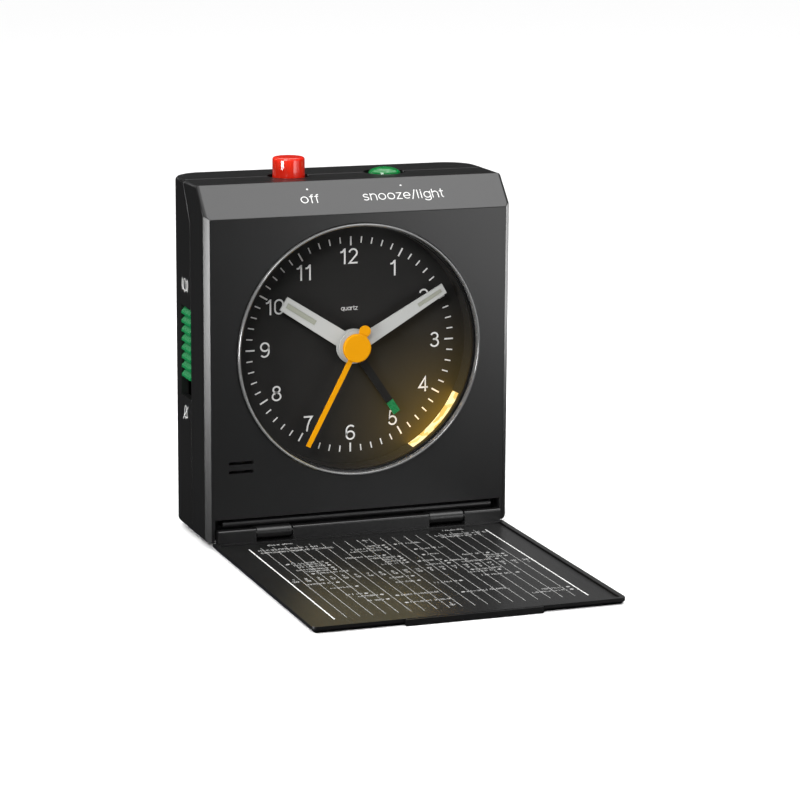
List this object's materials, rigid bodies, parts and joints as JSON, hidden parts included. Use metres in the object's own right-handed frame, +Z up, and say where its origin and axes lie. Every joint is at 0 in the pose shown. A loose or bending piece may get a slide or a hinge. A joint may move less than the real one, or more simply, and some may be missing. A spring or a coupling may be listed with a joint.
{
  "type": "travel alarm clock",
  "caption": "Folding travel alarm clock on four feet, lid open in front as a flap, round analogue dial, off and snooze push buttons on top, alarm slide switch on the side.",
  "frame": {"origin": "on the table under the centre of the whole object's bounding box, lid open", "axes": "+Z up, -Y towards the viewer of the dial (the lid lies that way), +X to the viewer's right"},
  "size_m": [0.07, 0.097, 0.0828],
  "materials": {
    "case": "fine matte grain, charcoal black",
    "lid": "fine matte grain, charcoal black",
    "dial": "flat black",
    "lens": "clear, polished",
    "hand": "satin pale grey paint",
    "lume": "chalky pale green paint",
    "yellow": "satin warm yellow",
    "black": "satin black",
    "green": "satin deep green",
    "red": "polished bright red",
    "amber": "clear amber",
    "movement": "natural grey",
    "brass": "machined",
    "steel": "bright",
    "copper": "lacquered copper winding wire",
    "board": "green solder mask",
    "rubber": "soft, dull",
    "label": "printed film, fine grain"
  },
  "bodies": {
    "case": {"front_case": "case", "rear_case": "case", "dial_ring": "dial", "dial_plate": "dial", "lens": "lens", "off_switch": "black", "snooze_switch": "black", "control_chip": "black", "alarm_switch": "black", "sounder": "black", "light_guide": "amber", "lamp": "amber", "movement_base": "movement", "movement_cover": "movement", "stator": "steel", "quartz_crystal": "steel", "battery": "steel", "contact_spring": "steel", "contact_plate": "steel", "off_spring": "steel", "snooze_spring": "steel", "screw_1": "steel", "screw_2": "steel", "screw_3": "steel", "screw_4": "steel", "hinge_pin": "steel", "coil": "copper", "circuit_board": "board", "switch_board": "board", "foot_front_left": "rubber", "foot_front_right": "rubber", "foot_rear_left": "rubber", "foot_rear_right": "rubber"},
    "door": {"battery_door": "case"},
    "lid": {"lid": "lid", "lid_label": "label"},
    "off_button": {"off_button": "red"},
    "snooze_button": {"snooze_button": "green"},
    "alarm_slider": {"alarm_slider": "green"},
    "second": {"second_hand": "yellow", "second_wheel": "steel"},
    "minute": {"minute_hand": "hand", "minute_lume": "lume", "centre_wheel": "brass"},
    "hour": {"hour_hand": "hand", "hour_lume": "lume", "hour_wheel": "brass"},
    "alarm": {"alarm_hand": "black", "alarm_hand_tip": "green", "alarm_wheel": "brass"},
    "motion": {"minute_wheel": "brass"},
    "third": {"third_wheel": "brass"},
    "fifth": {"fifth_wheel": "brass"},
    "rotor": {"rotor": "steel"},
    "time_set": {"time_set_knob": "black"},
    "alarm_set": {"alarm_set_knob": "black"}
  },
  "joints": [
    {"name": "lid_hinge", "type": "hinge", "parent": "case", "child": "lid", "pos_m": [0, 0.02035, 0.003], "axis": [-1, 0, 0], "range_deg": [0, 90]},
    {"name": "off_press", "type": "slide", "parent": "case", "child": "off_button", "axis": [0, 0, -1], "range_m": [0, 0.0018], "stiffness_N_per_m": 600, "springref_m": -0.0008, "deforming": ["off_spring"]},
    {"name": "snooze_press", "type": "slide", "parent": "case", "child": "snooze_button", "axis": [0, 0, -1], "range_m": [0, 0.0008], "stiffness_N_per_m": 600, "springref_m": -0.0008, "deforming": ["snooze_spring"]},
    {"name": "alarm_slide", "type": "slide", "parent": "case", "child": "alarm_slider", "axis": [0, 0, -1], "range_m": [0, 0.0034]},
    {"name": "door_pull", "type": "slide", "parent": "case", "child": "door", "axis": [0, 1, 0], "range_m": [0, 0.012]},
    {"name": "minute_spin", "type": "hinge", "parent": "case", "child": "minute", "pos_m": [0, 0.03055, 0.0421], "axis": [0, 1, 0], "continuous": true},
    {"name": "second_spin", "type": "hinge", "parent": "case", "child": "second", "pos_m": [0, 0.03055, 0.0421], "axis": [0, 1, 0], "continuous": true},
    {"name": "hour_spin", "type": "hinge", "parent": "case", "child": "hour", "pos_m": [0, 0.03055, 0.0421], "axis": [0, 1, 0], "continuous": true},
    {"name": "motion_spin", "type": "hinge", "parent": "case", "child": "motion", "pos_m": [0.0052, 0.03055, 0.0391], "axis": [0, 1, 0], "continuous": true},
    {"name": "third_spin", "type": "hinge", "parent": "case", "child": "third", "pos_m": [-0.00209, 0.03055, 0.03635], "axis": [0, 1, 0], "continuous": true},
    {"name": "fifth_spin", "type": "hinge", "parent": "case", "child": "fifth", "pos_m": [-0.00347, 0.03055, 0.04624], "axis": [0, 1, 0], "continuous": true},
    {"name": "rotor_spin", "type": "hinge", "parent": "case", "child": "rotor", "pos_m": [-0.00747, 0.03055, 0.04855], "axis": [0, 1, 0], "continuous": true},
    {"name": "time_set_spin", "type": "hinge", "parent": "case", "child": "time_set", "pos_m": [0.01039, 0.03055, 0.0361], "axis": [0, 1, 0], "continuous": true},
    {"name": "alarm_set_spin", "type": "hinge", "parent": "case", "child": "alarm_set", "pos_m": [-0.0078, 0.03055, 0.0421], "axis": [0, 1, 0], "continuous": true},
    {"name": "alarm_spin", "type": "hinge", "parent": "case", "child": "alarm", "pos_m": [0, 0.03055, 0.0421], "axis": [0, 1, 0], "continuous": true}
  ],
  "couplings": [
    {"joint": "hour_spin", "follows": "minute_spin", "ratio": 0.083333},
    {"joint": "motion_spin", "follows": "minute_spin", "ratio": -0.33333},
    {"joint": "time_set_spin", "follows": "minute_spin", "ratio": 1},
    {"joint": "third_spin", "follows": "minute_spin", "ratio": -8},
    {"joint": "second_spin", "follows": "minute_spin", "ratio": 60},
    {"joint": "fifth_spin", "follows": "minute_spin", "ratio": -300},
    {"joint": "rotor_spin", "follows": "minute_spin", "ratio": 1800},
    {"joint": "alarm_spin", "follows": "alarm_set_spin", "ratio": -0.625}
  ]
}
